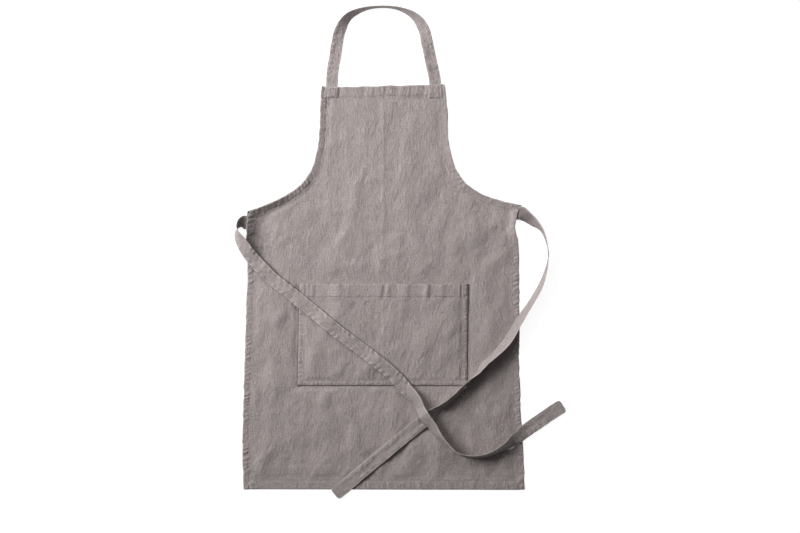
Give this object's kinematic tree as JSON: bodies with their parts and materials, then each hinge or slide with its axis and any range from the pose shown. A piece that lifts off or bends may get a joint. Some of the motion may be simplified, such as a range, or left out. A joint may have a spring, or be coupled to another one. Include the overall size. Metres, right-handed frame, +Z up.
{
  "type": "linen bib apron",
  "caption": "Linen bib apron lying flat front up, with turned hems, a wide patch pocket, a neck loop and long waist ties drawn loosely across the skirt.",
  "frame": {"origin": "middle of the footprint's bounding box, at the height of the surface that the apron lies on", "axes": "+Z up out of the apron's front, +Y from the hem towards the neck, +X to the right of someone looking at the front"},
  "size_m": [0.7306, 1.0826, 0.0389],
  "materials": {
    "linen": "plain-weave taupe grey linen with slubs and soft creases",
    "linen_tape": "the same linen folded and stitched flat into tape"
  },
  "bodies": {
    "root": {"apron_panel": "linen", "bib_hem": "linen", "bottom_hem": "linen", "side_hem_left": "linen", "side_hem_right": "linen", "armhole_hem_left": "linen", "armhole_hem_right": "linen", "pocket": "linen", "pocket_hem": "linen", "neck_strap": "linen_tape", "waist_tie_left": "linen_tape", "waist_tie_right": "linen_tape"}
  },
  "joints": []
}
